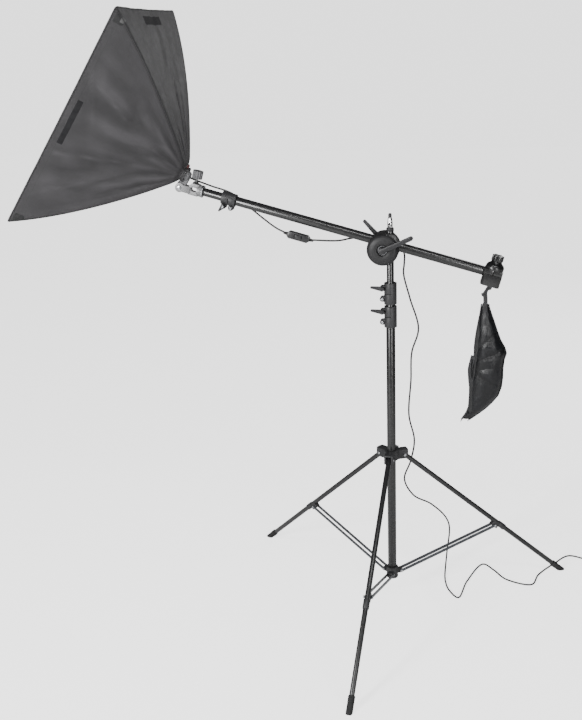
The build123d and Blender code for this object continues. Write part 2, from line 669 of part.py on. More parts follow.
def cable_drop():
    """From the switch behind the head, down beside the column and out along the floor."""
    floor = CABLE_R + 0.1
    below_head = (39, 22, 1178)
    hanging = (178, 190, 190)
    touchdown = (168, 190, floor)
    downwards = (0, 0, -1)
    falling = (0, 0.6, -0.8)
    forwards = (0, -1, 0)
    behind_head = [
        boom_point(SWITCH_STATION - 37.0, -SWITCH_DROP, -12.0),
        (-154, -30, 1230),
        (-118, -4, 1232),
        (-85, 30, 1220),
        (-30, 46, 1184),
        (20, 38, 1194),
        below_head,
    ]
    beside_column = [
        below_head,
        (36, 22, 1127),
        (57, 28, 1039),
        (83, 32, 941),
        (62, 37, 860),
        (59, 42, 767),
        (52, 50, 644),
        (69, 54, 556),
        (57, 58, 480),
        (36, 63, 410),
        (65, 76, 347),
        (123, 112, 299),
        hanging,
    ]
    onto_floor = [hanging, (172, 222, 60), touchdown]
    on_floor = [
        touchdown,
        (172, 120, floor),
        (187, 62, floor),
        (219, 18, floor),
        (246, 128, floor),
        (300, 252, floor),
        (337, 215, floor),
        (380, 157, floor),
        (462, 134, floor),
        (490, 205, floor),
        (548, 290, floor),
        (602, 351, floor),
        (660, 334, floor),
        (712, 322, floor),
    ]
    along_boom = tuple(-v for v in BOOM_DIRECTION)
    return [
        round_wire(behind_head, CABLE_R, (along_boom, downwards)),
        round_wire(beside_column, CABLE_R, (downwards, falling)),
        round_wire(onto_floor, CABLE_R, (falling, forwards)),
        round_wire(on_floor, CABLE_R, (forwards, (1, 0, 0))),
    ]


def plug():
    body = block((712, 752), (308, 336), (0, 18))
    pins = block((752, 770), (314.5, 316.0), (6, 12)) + block((752, 770), (328.0, 329.5), (6, 12))
    return body + pins


def switch_parts():
    frame = Plane(origin=SWITCH_CENTRE, x_dir=BOOM_DIRECTION, z_dir=(0, -1, 0))
    shell = Box(70, 21, 22)
    shell = chamfer(shell.edges().filter_by(Axis.Z), 6.0)
    shell -= Pos(0, 0, 10) * Box(24.4, 12.4, 10.4)
    rocker = Pos(0, 0, 10) * Box(23.4, 11.6, 5.5)
    rocker = rocker & Pos(0, 0, 4.5) * Rot(90, 0, 0) * Cylinder(12.6, 20)
    return {"switch_body": [frame * shell], "switch_rocker": [frame * rocker]}


def cable_parts():
    return {
        "cable_lamp": [cable_lamp()],
        "cable_drop": cable_drop() + [plug()],
        **switch_parts(),
    }


# ---------------------------------------------------------------- write the parts
def main():
    os.makedirs("parts", exist_ok=True)
    parts = {}
    for group in (
        tripod_parts(),
        column_parts(),
        head_parts(),
        boom_parts(),
        rear_clamp_parts(),
        {"sandbag_hook": [sandbag_hook()], "sandbag": [sandbag()]},
        lamp_bracket_parts(),
        {"lamp_holder": [lamp_holder()]},
        bulb_parts(),
        softbox_parts(),
        cable_parts(),
    ):
        parts.update(group)
    for name, pieces in parts.items():
        solids = [s for piece in pieces for s in piece.solids()]
        export_step(Compound(children=solids), f"parts/{name}.step")
    print(len(parts), "parts")


main()
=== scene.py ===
import json
from math import atan2, cos, exp, pi, radians, sin

import bmesh
import bpy
from mathutils import Matrix, Vector, noise


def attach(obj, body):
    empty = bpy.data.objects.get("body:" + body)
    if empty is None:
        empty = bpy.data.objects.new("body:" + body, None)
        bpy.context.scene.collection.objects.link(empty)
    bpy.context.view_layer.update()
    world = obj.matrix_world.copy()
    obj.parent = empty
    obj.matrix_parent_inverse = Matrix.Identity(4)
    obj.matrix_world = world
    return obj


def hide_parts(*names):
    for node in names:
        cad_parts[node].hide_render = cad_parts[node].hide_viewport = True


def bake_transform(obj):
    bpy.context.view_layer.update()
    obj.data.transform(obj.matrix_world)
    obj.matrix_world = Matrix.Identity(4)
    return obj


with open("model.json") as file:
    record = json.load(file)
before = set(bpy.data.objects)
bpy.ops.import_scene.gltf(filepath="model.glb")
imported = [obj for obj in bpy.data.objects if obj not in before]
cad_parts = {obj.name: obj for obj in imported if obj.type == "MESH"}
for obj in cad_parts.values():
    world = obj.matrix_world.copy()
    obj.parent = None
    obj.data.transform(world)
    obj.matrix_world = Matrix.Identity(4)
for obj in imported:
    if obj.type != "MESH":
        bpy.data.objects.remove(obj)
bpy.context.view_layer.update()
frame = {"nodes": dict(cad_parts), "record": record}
NODES = frame["nodes"]
MM = 0.001
SMOOTH_ANGLE = radians(38)
BEVEL_ANGLE = radians(40)
BEVEL_WIDTH = 0.0007

# ------------------------------------------------------------------ frames of the CAD model
BOOM_TILT = radians(15.83)
BOX_PITCH = radians(34.3)
BOOM_Y = -33.5
BOOM_ALONG = Vector((-cos(BOOM_TILT), 0, sin(BOOM_TILT)))
BOOM_UP = Vector((sin(BOOM_TILT), 0, cos(BOOM_TILT)))
BOX_APEX = Vector((-622.0, BOOM_Y, 1437.0))
BOX_ALONG = Vector((-cos(BOX_PITCH), 0, sin(BOX_PITCH)))
BOX_UP = Vector((sin(BOX_PITCH), 0, cos(BOX_PITCH)))
FRONT = Vector((0, -1, 0))
UP = Vector((0, 0, 1))
LEG_AZIMUTHS = {"left": radians(144.4), "front": radians(264.4), "right": radians(24.4)}


def boom_point(station, up=0.0, across=0.0):
    """Millimetres along, above and across the boom, to a point of the frame in millimetres."""
    return Vector((0, BOOM_Y + across, 1221.0)) + station * BOOM_ALONG + up * BOOM_UP


def box_point(x, y, depth):
    """The softbox's own millimetres: up, across and towards the mouth."""
    return BOX_APEX + x * BOX_UP + Vector((0, y, 0)) + depth * BOX_ALONG


# ------------------------------------------------------------------ materials
def put(tree, kind, sockets=None, **properties):
    node = tree.nodes.new(kind)
    for key, value in properties.items():
        setattr(node, key, value)
    for key, value in (sockets or {}).items():
        if isinstance(value, bpy.types.NodeSocket):
            tree.links.new(value, node.inputs[key])
        else:
            node.inputs[key].default_value = value
    return node


def shade(colour, factor):
    return tuple(min(c * factor, 1.0) for c in colour[:3]) + (1.0,)


def new_material(name):
    mat = bpy.data.materials.new(name)
    mat.use_nodes = True
    tree = mat.node_tree
    return mat, tree, tree.nodes["Principled BSDF"], tree.nodes.new("ShaderNodeTexCoord")


def noise_factor(tree, vector, scale, detail=4.0):
    sockets = {"Vector": vector, "Scale": scale, "Detail": detail, "Roughness": 0.6}
    return put(tree, "ShaderNodeTexNoise", sockets).outputs["Fac"]


def mixed(tree, factor, low, high):
    node = put(tree, "ShaderNodeMix", data_type="RGBA")
    for index, value in ((0, factor), (6, low), (7, high)):
        if isinstance(value, bpy.types.NodeSocket):
            tree.links.new(value, node.inputs[index])
        else:
            node.inputs[index].default_value = value
    return node.outputs[2]


def ranged(tree, value, low, high, from_low=0.3, from_high=0.7):
    sockets = {"Value": value, "From Min": from_low, "From Max": from_high, "To Min": low, "To Max": high}
    return put(tree, "ShaderNodeMapRange", sockets).outputs["Result"]


def bumped(tree, shader, height, strength, distance, normal=None):
    sockets = {"Height": height, "Strength": strength, "Distance": distance}
    if normal is not None:
        sockets["Normal"] = normal
    bump = put(tree, "ShaderNodeBump", sockets)
    tree.links.new(bump.outputs["Normal"], shader.inputs["Normal"])
    return bump.outputs["Normal"]


def hard_finish(name, colour, rough, metal=0.0, coat=0.0, grain=900.0, bump=0.1, wear=0.12):
    """Paint, plastic, rubber or metal: mottled colour, uneven gloss, fine grain, worn edges."""
    mat, tree, shader, coords = new_material(name)
    place = coords.outputs["Object"]
    mottle = noise_factor(tree, place, 26.0)
    tint = mixed(tree, ranged(tree, mottle, 0.0, 1.0), shade(colour, 0.82), shade(colour, 1.2))
    edge = put(tree, "ShaderNodeNewGeometry").outputs["Pointiness"]
    worn = ranged(tree, edge, 0.0, wear, 0.51, 0.58)
    tint = mixed(tree, worn, tint, shade(tuple(0.5 * c + 0.08 for c in colour), 1.6))
    tree.links.new(tint, shader.inputs["Base Color"])
    fine = noise_factor(tree, place, grain, 2.0)
    gloss = ranged(tree, noise_factor(tree, place, 70.0), rough * 0.82, min(rough * 1.22, 1.0))
    tree.links.new(gloss, shader.inputs["Roughness"])
    shader.inputs["Metallic"].default_value = metal
    shader.inputs["Coat Weight"].default_value = coat
    shader.inputs["Coat Roughness"].default_value = 0.3
    bumped(tree, shader, fine, bump, 0.0006)
    return mat


def weave_height(tree, vector, pitch):
    """Warp and weft threads that pass over and under one another."""
    threads = []
    for direction in ("X", "Y"):
        sockets = {"Vector": vector, "Scale": 0.31831 / pitch, "Distortion": 0.4, "Detail": 1.0}
        wave = put(tree, "ShaderNodeTexWave", sockets, bands_direction=direction, wave_profile="SIN")
        threads.append(wave.outputs["Fac"])
    return put(tree, "ShaderNodeMath", {0: threads[0], 1: threads[1]}, operation="MULTIPLY").outputs[0]


def cloth_finish(name, colour, rough, pitch=0.0009, sheen=0.3, bump=0.35, mottle=0.16, uv=True):
    """Woven cloth: threads, a soft random tonal drift, painted shade in the creases and painted highlight on
    the raised folds, and a dull sheen.
    """
    mat, tree, shader, coords = new_material(name)
    place = coords.outputs["Object"]
    vector = coords.outputs["UV"] if uv else place
    threads = weave_height(tree, vector, pitch)
    broad = ranged(tree, noise_factor(tree, place, 9.0, 5.0), 0.0, 1.0)
    tint = mixed(tree, broad, shade(colour, 1 - mottle), shade(colour, 1 + mottle))
    tint = mixed(tree, ranged(tree, threads, 0.35, 0.0, 0.0, 1.0), tint, shade(colour, 0.45))
    fold_shade = put(tree, "ShaderNodeAttribute", attribute_name="fold_shade").outputs["Fac"]
    # painted shade in the cloth's dips and painted highlight on its raised folds, from each point's stored
    # value
    tint = mixed(tree, ranged(tree, fold_shade, 0.0, 0.55, 0.0, 1.0), tint, shade(colour, 0.4))
    tint = mixed(tree, ranged(tree, fold_shade, 0.0, 0.55, 0.0, -1.0), tint, shade(colour, 1.75))
    tree.links.new(tint, shader.inputs["Base Color"])
    gloss = ranged(tree, noise_factor(tree, place, 40.0), rough * 0.88, min(rough * 1.12, 1.0))
    tree.links.new(gloss, shader.inputs["Roughness"])
    shader.inputs["Sheen Weight"].default_value = sheen
    shader.inputs["Sheen Roughness"].default_value = 0.45
    crumple = noise_factor(tree, place, 60.0, 6.0)
    first = bumped(tree, shader, crumple, 0.25, 0.002)
    bumped(tree, shader, threads, bump, 0.0004, first)
    return mat


def glass_finish(name, colour):
    mat, tree, shader, coords = new_material(name)
    haze = noise_factor(tree, coords.outputs["Object"], 120.0)
    tree.links.new(ranged(tree, haze, 0.22, 0.34), shader.inputs["Roughness"])
    tint = mixed(tree, haze, shade(colour, 0.96), shade(colour, 1.0))
    tree.links.new(tint, shader.inputs["Base Color"])
    shader.inputs["Subsurface Weight"].default_value = 0.3
    shader.inputs["Coat Weight"].default_value = 0.6
    return mat


LOOKS = {
    "black_tube": hard_finish("black_tube", (0.006, 0.006, 0.0065), 0.27, coat=0.5, grain=300, bump=0.004),
    "leg_tube": hard_finish("leg_tube", (0.008, 0.008, 0.009), 0.3, coat=0.35, grain=300, bump=0.006),
    "brace_steel": hard_finish("brace_steel", (0.085, 0.09, 0.1), 0.36, metal=0.55, grain=1100, bump=0.06),
    "clamp_plastic": hard_finish("clamp_plastic", (0.026, 0.026, 0.028), 0.46, grain=1900, bump=0.16),
    "disc_plastic": hard_finish("disc_plastic", (0.012, 0.0118, 0.013), 0.5, grain=1500, bump=0.3),
    "lever_plastic": hard_finish("lever_plastic", (0.018, 0.018, 0.02), 0.36, grain=1800, bump=0.12),
    "rubber": hard_finish("rubber", (0.016, 0.016, 0.017), 0.72, grain=2200, bump=0.2, wear=0.15),
    "chrome": hard_finish("chrome", (0.86, 0.86, 0.88), 0.12, metal=1.0, grain=400, bump=0.02, wear=0.0),
    "zinc": hard_finish("zinc", (0.5, 0.51, 0.53), 0.3, metal=1.0, grain=700, bump=0.06, wear=0.0),
    "cast_grey": hard_finish("cast_grey", (0.24, 0.24, 0.245), 0.46, metal=0.45, grain=1300, bump=0.3),
    "knob_grey": hard_finish("knob_grey", (0.12, 0.12, 0.125), 0.48, grain=1500, bump=0.2),
    "holder_plastic": hard_finish(
        "holder_plastic", (0.15, 0.15, 0.155), 0.48, metal=0.3, grain=1300, bump=0.2
    ),
    "bulb_white": hard_finish("bulb_white", (0.82, 0.82, 0.8), 0.35, grain=900, bump=0.04, wear=0.0),
    "milky_glass": glass_finish("milky_glass", (0.93, 0.93, 0.9)),
    "rib_steel": hard_finish("rib_steel", (0.02, 0.02, 0.02), 0.35, metal=0.3, grain=1500, bump=0.05),
    "black_nylon": cloth_finish("black_nylon", (0.042, 0.04, 0.043), 0.5, sheen=0.06),
    "silver_cloth": cloth_finish("silver_cloth", (0.72, 0.72, 0.74), 0.34, sheen=0.1, bump=0.25),
    "white_cloth": cloth_finish("white_cloth", (0.86, 0.86, 0.85), 0.72, sheen=0.2, mottle=0.04),
    "sandbag_nylon": cloth_finish("sandbag_nylon", (0.0055, 0.0058, 0.0075), 0.34, sheen=0.03, uv=False),
    "cable_rubber": hard_finish("cable_rubber", (0.014, 0.014, 0.014), 0.45, grain=1700, bump=0.08, wear=0.1),
    "switch_plastic": hard_finish("switch_plastic", (0.02, 0.02, 0.021), 0.34, grain=1900, bump=0.08),
}
GLOSS_BLACK = hard_finish("gloss_black", (0.004, 0.004, 0.0045), 0.3, coat=0.5, grain=900, bump=0.04)
VELCRO = cloth_finish("velcro", (0.012, 0.012, 0.014), 0.92, pitch=0.0014, sheen=0.05, bump=0.8, uv=False)
PIPING = cloth_finish("piping", (0.014, 0.014, 0.015), 0.62, pitch=0.0007, sheen=0.2, uv=False)
WEBBING = cloth_finish("webbing", (0.018, 0.018, 0.02), 0.6, pitch=0.0016, sheen=0.35, bump=0.7, uv=False)
DRAWCORD = cloth_finish("drawcord", (0.06, 0.006, 0.008), 0.6, pitch=0.0008, sheen=0.3, uv=False)
TAG = cloth_finish("corner_tag", (0.11, 0.11, 0.11), 0.7, pitch=0.0008, uv=False)


# ------------------------------------------------------------------ mesh helpers
def edge_smoothing():
    """A modifier tree that shades smooth except across sharp edges."""
    group = bpy.data.node_groups.new("sharp_by_angle", "GeometryNodeTree")
    group.interface.new_socket("Geometry", in_out="INPUT", socket_type="NodeSocketGeometry")
    group.interface.new_socket("Geometry", in_out="OUTPUT", socket_type="NodeSocketGeometry")
    source = group.nodes.new("NodeGroupInput")
    sink = group.nodes.new("NodeGroupOutput")
    angle = group.nodes.new("GeometryNodeInputMeshEdgeAngle").outputs["Unsigned Angle"]
    flat = put(group, "FunctionNodeCompare", {0: angle, 1: SMOOTH_ANGLE}, operation="LESS_THAN")
    faces = put(group, "GeometryNodeSetShadeSmooth", {"Geometry": source.outputs[0]}, domain="FACE")
    edges = put(
        group,
        "GeometryNodeSetShadeSmooth",
        {"Geometry": faces.outputs[0], "Shade Smooth": flat.outputs[0]},
        domain="EDGE",
    )
    group.links.new(edges.outputs[0], sink.inputs[0])
    return group


SHARP_BY_ANGLE = edge_smoothing()


def smooth_shading(obj):
    obj.modifiers.new("shading", "NODES").node_group = SHARP_BY_ANGLE


def round_edges(obj, width):
    """Rounds a part's hard edges, as moulding and machining leave them."""
    weld = obj.modifiers.new("weld", "WELD")
    weld.merge_threshold = 2e-6
    bevel = obj.modifiers.new("round", "BEVEL")
    bevel.width = width
    bevel.segments = 2
    bevel.limit_method = "ANGLE"
    bevel.angle_limit = BEVEL_ANGLE
    smooth_shading(obj)


def add_mesh(name, verts, faces, look, body=None, uvs=None):
    """A mesh object from points in millimetres of the frame."""
    mesh = bpy.data.meshes.new(name)
    mesh.from_pydata([Vector(v) * MM for v in verts], [], faces)
    mesh.validate()
    obj = bpy.data.objects.new(name, mesh)
    bpy.context.scene.collection.objects.link(obj)
    mesh.materials.append(look)
    if uvs:
        layer = mesh.uv_layers.new(name="UVMap")
        for loop in mesh.loops:
            layer.data[loop.index].uv = uvs[loop.vertex_index]
    mesh.polygons.foreach_set("use_smooth", [True] * len(mesh.polygons))
    if body:
        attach(obj, body)
    return obj


def across_of(direction):
    """Two directions square to a third."""
    side = direction.cross(FRONT)
    if side.length < 0.2:
        side = direction.cross(UP)
    side.normalize()
    return side, direction.cross(side).normalized()


def grid_faces(rows, columns, closed=True, flip=False):
    """Quads of a grid of points stored row by row, closed round its columns or open."""
    faces = []
    for row in range(rows - 1):
        for column in range(columns if closed else columns - 1):
            after = (column + 1) % columns
            this_row, next_row = row * columns, (row + 1) * columns
            face = (this_row + column, this_row + after, next_row + after, next_row + column)
            faces.append(face[::-1] if flip else face)
    return faces


def turned(name, profile, centre, axis, look, body, sides=32):
    """A piece turned about an axis from (radius, height) points, closed at both ends."""
    axis = Vector(axis).normalized()
    u, w = across_of(axis)
    verts = []
    for radius, height in profile:
        for i in range(sides):
            turn = 2 * pi * i / sides
            verts.append(Vector(centre) + axis * height + (u * cos(turn) + w * sin(turn)) * radius)
    faces = grid_faces(len(profile), sides)
    faces.append(tuple(range(sides))[::-1])
    faces.append(tuple(range((len(profile) - 1) * sides, len(profile) * sides)))
    obj = add_mesh(name, verts, faces, look, body)
    smooth_shading(obj)
    return obj


def curve_path(points, step):
    """A smooth path through points, with a point about every step millimetres."""
    pts = [Vector(p) for p in points]
    pts = [2 * pts[0] - pts[1]] + pts + [2 * pts[-1] - pts[-2]]
    path = []
    for a, b, c, d in zip(pts, pts[1:], pts[2:], pts[3:]):
        t1 = (b - a).length ** 0.5
        t2 = t1 + (c - b).length ** 0.5
        t3 = t2 + (d - c).length ** 0.5
        count = max(2, int((c - b).length / step))
        for i in range(count):
            t = t1 + (t2 - t1) * i / count
            ab = a * ((t1 - t) / t1) + b * (t / t1)
            bc = b * ((t2 - t) / (t2 - t1)) + c * ((t - t1) / (t2 - t1))
            cd = c * ((t3 - t) / (t3 - t2)) + d * ((t - t2) / (t3 - t2))
            abc = ab * ((t2 - t) / t2) + bc * (t / t2)
            bcd = bc * ((t3 - t) / (t3 - t1)) + cd * ((t - t1) / (t3 - t1))
            path.append(abc * ((t2 - t) / (t2 - t1)) + bcd * ((t - t1) / (t2 - t1)))
    return path + [pts[-2]]


def swept(
    name, path, half_width, half_height, look, body=None, sides=10, start_side=None, closed=False
):
    """A cord or strap with an oval section along a path, closed at both ends or into a loop."""
    count = len(path)
    verts = []
    side = None
    for i, point in enumerate(path):
        if closed:
            ahead = path[(i + 1) % count] - path[i - 1]
        else:
            ahead = path[min(i + 1, count - 1)] - path[max(i - 1, 0)]
        ahead.normalize()
        if side is None:
            side = Vector(start_side) if start_side else across_of(ahead)[0]
        side = (side - ahead * side.dot(ahead)).normalized()
        other = ahead.cross(side)
        for k in range(sides):
            turn = 2 * pi * k / sides
            verts.append(point + side * (half_width * cos(turn)) + other * (half_height * sin(turn)))
    if closed:
        faces = grid_faces(count, sides)
        last = (count - 1) * sides
        for k in range(sides):
            faces.append((last + k, last + (k + 1) % sides, (k + 1) % sides, k))
    else:
        faces = grid_faces(count, sides)
        faces.append(tuple(range(sides))[::-1])
        faces.append(tuple(range((count - 1) * sides, count * sides)))
    return add_mesh(name, verts, faces, look, body)


def smoothstep(value):
    value = min(max(value, 0.0), 1.0)
    return value * value * (3 - 2 * value)


# ------------------------------------------------------------------ the CAD parts' finishes
for part in frame["record"]["subparts"]:
    node = NODES[part["node"]]
    node.data.materials.clear()
    look = GLOSS_BLACK if part["node"].startswith("rear_clamp") else LOOKS[part["material_slot"]]
    node.data.materials.append(look)
    round_edges(node, BEVEL_WIDTH)

# ------------------------------------------------------------------ softbox fabric
MOUTH = 331.0
LONG_HALF = 350.0
SHORT_HALF = 250.0
NECK_HALF = 24.0
CORNER_R = 9.0
CINCH = -3.0
CINCH_R = 21.4
SIDES = ((1, 0), (0, 1), (-1, 0), (0, -1))
# creases left by folding: side, then ends as (across, depth), then height
CREASES = (
    (3, (-98, 312), (-33, 130), 3.2),
    (3, (150, 300), (60, 150), 2.4),
    (3, (-250, 322), (-60, 120), 2.0),
    (3, (20, 250), (190, 322), 1.6),
    (0, (-60, 320), (-15, 120), 2.4),
    (0, (90, 300), (30, 110), 1.8),
    (1, (-120, 310), (-40, 130), 2.6),
    (1, (120, 310), (50, 120), 2.2),
    (2, (-70, 320), (-20, 120), 2.4),
    (2, (110, 315), (40, 140), 2.0),
)


def box_half(depth, mouth_half):
    q = max(depth, 0.0) / MOUTH
    return NECK_HALF + (mouth_half - NECK_HALF) * q * (1.3 - 0.3 * q)


def panel_drop(side, across, half, depth):
    """How far a fabric panel lies inside the flat between its ribs, in millimetres."""
    q = min(max(depth, 0.0) / MOUTH, 1.0)
    s = across / half
    bay = max(1 - s * s, 0.0)
    drop = bay * (9.0 * q * (1 - q) + 3.5 * q * q)
    folds = sin(9.5 * s + 1.3 * side) * 0.55 + sin(17.0 * s + 2.1 * side + 2.5 * q) * 0.3
    folds += sin(31.0 * s + side) * 0.15
    drop += 5.5 * folds * bay * smoothstep(q * 7) * exp(-2.2 * q)
    ripple = noise.noise(Vector((across / 85.0, depth / 120.0, 7.3 * side)))
    ripple += 0.5 * noise.noise(Vector((across / 30.0, depth / 70.0, 3.1 * side + 9)))
    ridge = 1 - 2.6 * abs(noise.noise(Vector((3.1 * s + 0.35 * ripple, 1.5 * q, 7.3 * side + 2.2))))
    ridge += 0.6 - 1.5 * abs(noise.noise(Vector((6.3 * s, 2.4 * q + 0.3 * ripple, 5.7 * side + 4.4))))
    hem = 1 - 0.8 * smoothstep((q - 0.8) / 0.2)
    drop += (2.0 * ripple + 4.2 * (ridge - 0.6)) * bay ** 0.7 * smoothstep(q * 4) * hem
    for crease_side, start, end, height in CREASES:
        if crease_side != side:
            continue
        span = Vector((end[0] - start[0], end[1] - start[1]))
        offset = Vector((across - start[0], depth - start[1]))
        share = offset.dot(span) / span.length_squared
        distance = abs(offset.x * span.y - offset.y * span.x) / span.length
        ends = smoothstep(share * 5 + 0.4) * smoothstep((1 - share) * 5 + 0.4)
        drop -= 1.7 * height * bay * ends * exp(-distance / 4.5)
        drop += 1.2 * height * bay * ends * exp(-distance / 18.0)
    return drop


def panel_fold_shade(side, s, depth):
    """How much the fabric dips (up to 1) or stands up (down to -1) against its surroundings, plus painted
    shade darker near the apex and towards one edge of each panel; the value sets the cloth's painted shade
    and painted highlight.
    """
    half = box_half(depth, SHORT_HALF if SIDES[side][0] else LONG_HALF)
    here = panel_drop(side, s * half, half, depth)
    around = 0.0
    for ds, dd in ((-0.16, 0), (0.16, 0), (0, -26), (0, 26)):
        t = min(max(s + ds, -0.98), 0.98)
        around += 0.25 * panel_drop(side, t * half, half, min(max(depth + dd, 10), MOUTH))
    # painted shade: darker near the apex and towards one edge of each panel
    painted_shade = 0.42 * exp(-6.0 * max(depth, 0.0) / MOUTH) + 0.1 * s
    return min(max((here - around) / 2.4 + painted_shade, -1.0), 1.0)


def canopy_ring_point(side, s, depth, inset):
    """A point of the fabric: side 0 to 3, s from -1 to 1 across it, depth from the apex."""
    nx, ny = SIDES[side]
    half_n = box_half(depth, LONG_HALF if nx else SHORT_HALF)
    half_a = box_half(depth, SHORT_HALF if nx else LONG_HALF)
    straight = half_a - CORNER_R
    reach = s * (straight + CORNER_R * pi / 4)
    turn = 0.0
    across = reach
    if abs(reach) > straight:
        turn = (abs(reach) - straight) / CORNER_R * (1 if reach > 0 else -1)
        across = straight * (1 if reach > 0 else -1) + CORNER_R * sin(turn)
    out = half_n - CORNER_R + CORNER_R * cos(turn)
    inwards = inset + panel_drop(side, min(max(across, -half_a), half_a), half_a, depth)
    out -= inwards * cos(turn)
    across -= inwards * sin(turn)
    x = nx * out - ny * across
    y = ny * out + nx * across
    round_share = 1 - smoothstep((depth - CINCH) / 16.0)
    if round_share > 0:
        angle = atan2(y, x)
        pleats = 1.1 * sin(18 * angle) * smoothstep((depth - CINCH) / 5.0) + 0.5 * sin(31 * angle)
        radius = CINCH_R + pleats - inset * 0.3
        x += round_share * (radius * cos(angle) - x)
        y += round_share * (radius * sin(angle) - y)
    return x, y


def store_fold_shade(obj, values):
    """Keeps how far each point dips, for the cloth's painted shade in the dips and painted highlight on the
    raised folds.
    """
    layer = obj.data.attributes.new("fold_shade", "FLOAT", "POINT")
    layer.data.foreach_set("value", values)


def canopy_sheet(name, depths, per_side, inset, look, thickness, tail=None):
    """One continuous sheet round all four sides, with the thread's directions as its UVs."""
    verts, uvs, fold_shade = [], [], []
    columns = 4 * per_side
    for depth in depths:
        for column in range(columns):
            side = column // per_side
            s = 2 * (column % per_side) / per_side - 1
            x, y = canopy_ring_point(side, s, depth, inset)
            verts.append(box_point(x, y, depth))
            uvs.append(((x + y) * MM, depth * MM))
            # painted shade and painted highlight from each point's folds
            fold_shade.append(panel_fold_shade(side, s, depth))
    if tail:
        for depth, radius, frill in tail:
            for column in range(columns):
                side = column // per_side
                s = 2 * (column % per_side) / per_side - 1
                x, y = canopy_ring_point(side, s, CINCH, 0)
                angle = atan2(y, x)
                r = radius + frill * sin(18 * angle) + 0.4 * frill * sin(11 * angle + 1)
                verts.append(box_point(r * cos(angle), r * sin(angle), depth))
                uvs.append(((x + y) * MM, depth * MM))
                # an even touch of painted shade on the gathered neck
                fold_shade.append(0.3)
    rows = len(depths) + (len(tail) if tail else 0)
    obj = add_mesh(name, verts, grid_faces(rows, columns), look, uvs=uvs)
    store_fold_shade(obj, fold_shade)
    solid = obj.modifiers.new("thickness", "SOLIDIFY")
    solid.thickness = thickness * MM
    solid.offset = -1
    return obj


def depth_rows(start, end, count):
    return [start + (end - start) * i / (count - 1) for i in range(count)]


outer_rows = depth_rows(MOUTH, 30, 62) + depth_rows(26, CINCH, 12)
ruffle = [(-5.5, 22.3, 0.5), (-8, 22.8, 0.9), (-10.5, 23.2, 1.2)]
canopy = canopy_sheet("canopy_cloth", outer_rows, 56, 0.0, LOOKS["black_nylon"], 0.9, ruffle)
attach(canopy, "softbox")
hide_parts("canopy")

lining_rows = depth_rows(MOUTH - 18, 30, 42)
lining = canopy_sheet("lining_cloth", lining_rows, 40, 4.0, LOOKS["silver_cloth"], 0.7)
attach(lining, "softbox")
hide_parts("lining")


def mouth_ring(inset, depth, per_side=56):
    ring = []
    for column in range(4 * per_side):
        s = 2 * (column % per_side) / per_side - 1
        x, y = canopy_ring_point(column // per_side, s, depth, inset)
        ring.append(box_point(x, y, depth))
    return ring


def build_lip():
    """The mouth's hem: the fabric turns in and runs back to the diffuser's edge."""
    rings = []
    for inset, depth in ((0.4, 329.0), (0.6, 331.4), (2.0, 332.2), (3.6, 331.4), (4.0, 328.0), (4.2, 315.0)):
        ring = []
        for column in range(224):
            s = 2 * (column % 56) / 56 - 1
            x, y = canopy_ring_point(column // 56, s, min(depth, MOUTH), inset)
            ring.append(box_point(x, y, depth))
        rings.append(ring)
    verts = [p for ring in rings for p in ring]
    uvs = [((i % 224) * 0.01, (i // 224) * 0.004) for i in range(len(verts))]
    faces = grid_faces(len(rings), 224)
    lip = add_mesh("mouth_hem", verts, faces, LOOKS["black_nylon"], "softbox", uvs)
    solid = lip.modifiers.new("thickness", "SOLIDIFY")
    solid.thickness = 0.0009
    solid.offset = 0
    return lip


build_lip()
for name, ring, half_width, half_height, sides in (
    ("mouth_piping", mouth_ring(-0.6, 328.5), 1.7, 1.7, 8),
    ("hem_stitching", mouth_ring(-0.5, 311.0), 0.7, 0.5, 6),
):
    swept(name, ring, half_width, half_height, PIPING, "softbox", sides, closed=True)
for number, side in enumerate(range(4)):
    seam = []
    for depth in depth_rows(4, 329, 70):
        x, y = canopy_ring_point(side, 1.0, depth, -0.7)
        seam.append(box_point(x, y, depth))
    swept(f"corner_piping_{number}", seam, 1.9, 1.5, PIPING, "softbox", 8)
    for offset, label in ((-1, "a"), (1, "b")):
        line = []
        for depth in depth_rows(40, 326, 60):
            use_side = side if offset < 0 else (side + 1) % 4
            half = box_half(depth, SHORT_HALF if SIDES[use_side][0] else LONG_HALF)
            s = (1.0 - 11.0 / half) * (1 if offset < 0 else -1)
            x, y = canopy_ring_point(use_side, s, depth, -0.25)
            line.append(box_point(x, y, depth))
        swept(f"seam_stitching_{number}{label}", line, 0.6, 0.4, PIPING, "softbox", 6)


def patch_on_panel(name, side, across, depths, look, lift):
    """A flat strip sewn on a panel, following its surface, with a rounded raised edge."""
    columns, rows = 36, 10
    sheets = []
    for layer_lift in (0.15, lift):
        for row in range(rows):
            for column in range(columns):
                depth = depths[0] + (depths[1] - depths[0]) * row / (rows - 1)
                wanted = across[0] + (across[1] - across[0]) * column / (columns - 1)
                half = box_half(depth, SHORT_HALF if SIDES[side][0] else LONG_HALF)
                straight = half - CORNER_R
                s = wanted / (straight + CORNER_R * pi / 4)
                border = row in (0, rows - 1) or column in (0, columns - 1)
                height = layer_lift * (0.35 if border and layer_lift == lift else 1.0)
                x, y = canopy_ring_point(side, s, depth, -height)
                sheets.append(box_point(x, y, depth))
    count = rows * columns
    bottom = grid_faces(rows, columns, closed=False)
    faces = [tuple(i + count for i in f[::-1]) for f in bottom] + bottom
    rim = [c for c in range(columns)]
    rim += [r * columns + columns - 1 for r in range(1, rows)]
    rim += [(rows - 1) * columns + c for c in range(columns - 2, -1, -1)]
    rim += [r * columns for r in range(rows - 2, 0, -1)]
    for a, b in zip(rim, rim[1:] + rim[:1]):
        faces.append((a, a + count, b + count, b))
    obj = add_mesh(name, sheets, faces, look, "softbox")
    fix_normals(obj)
    return obj


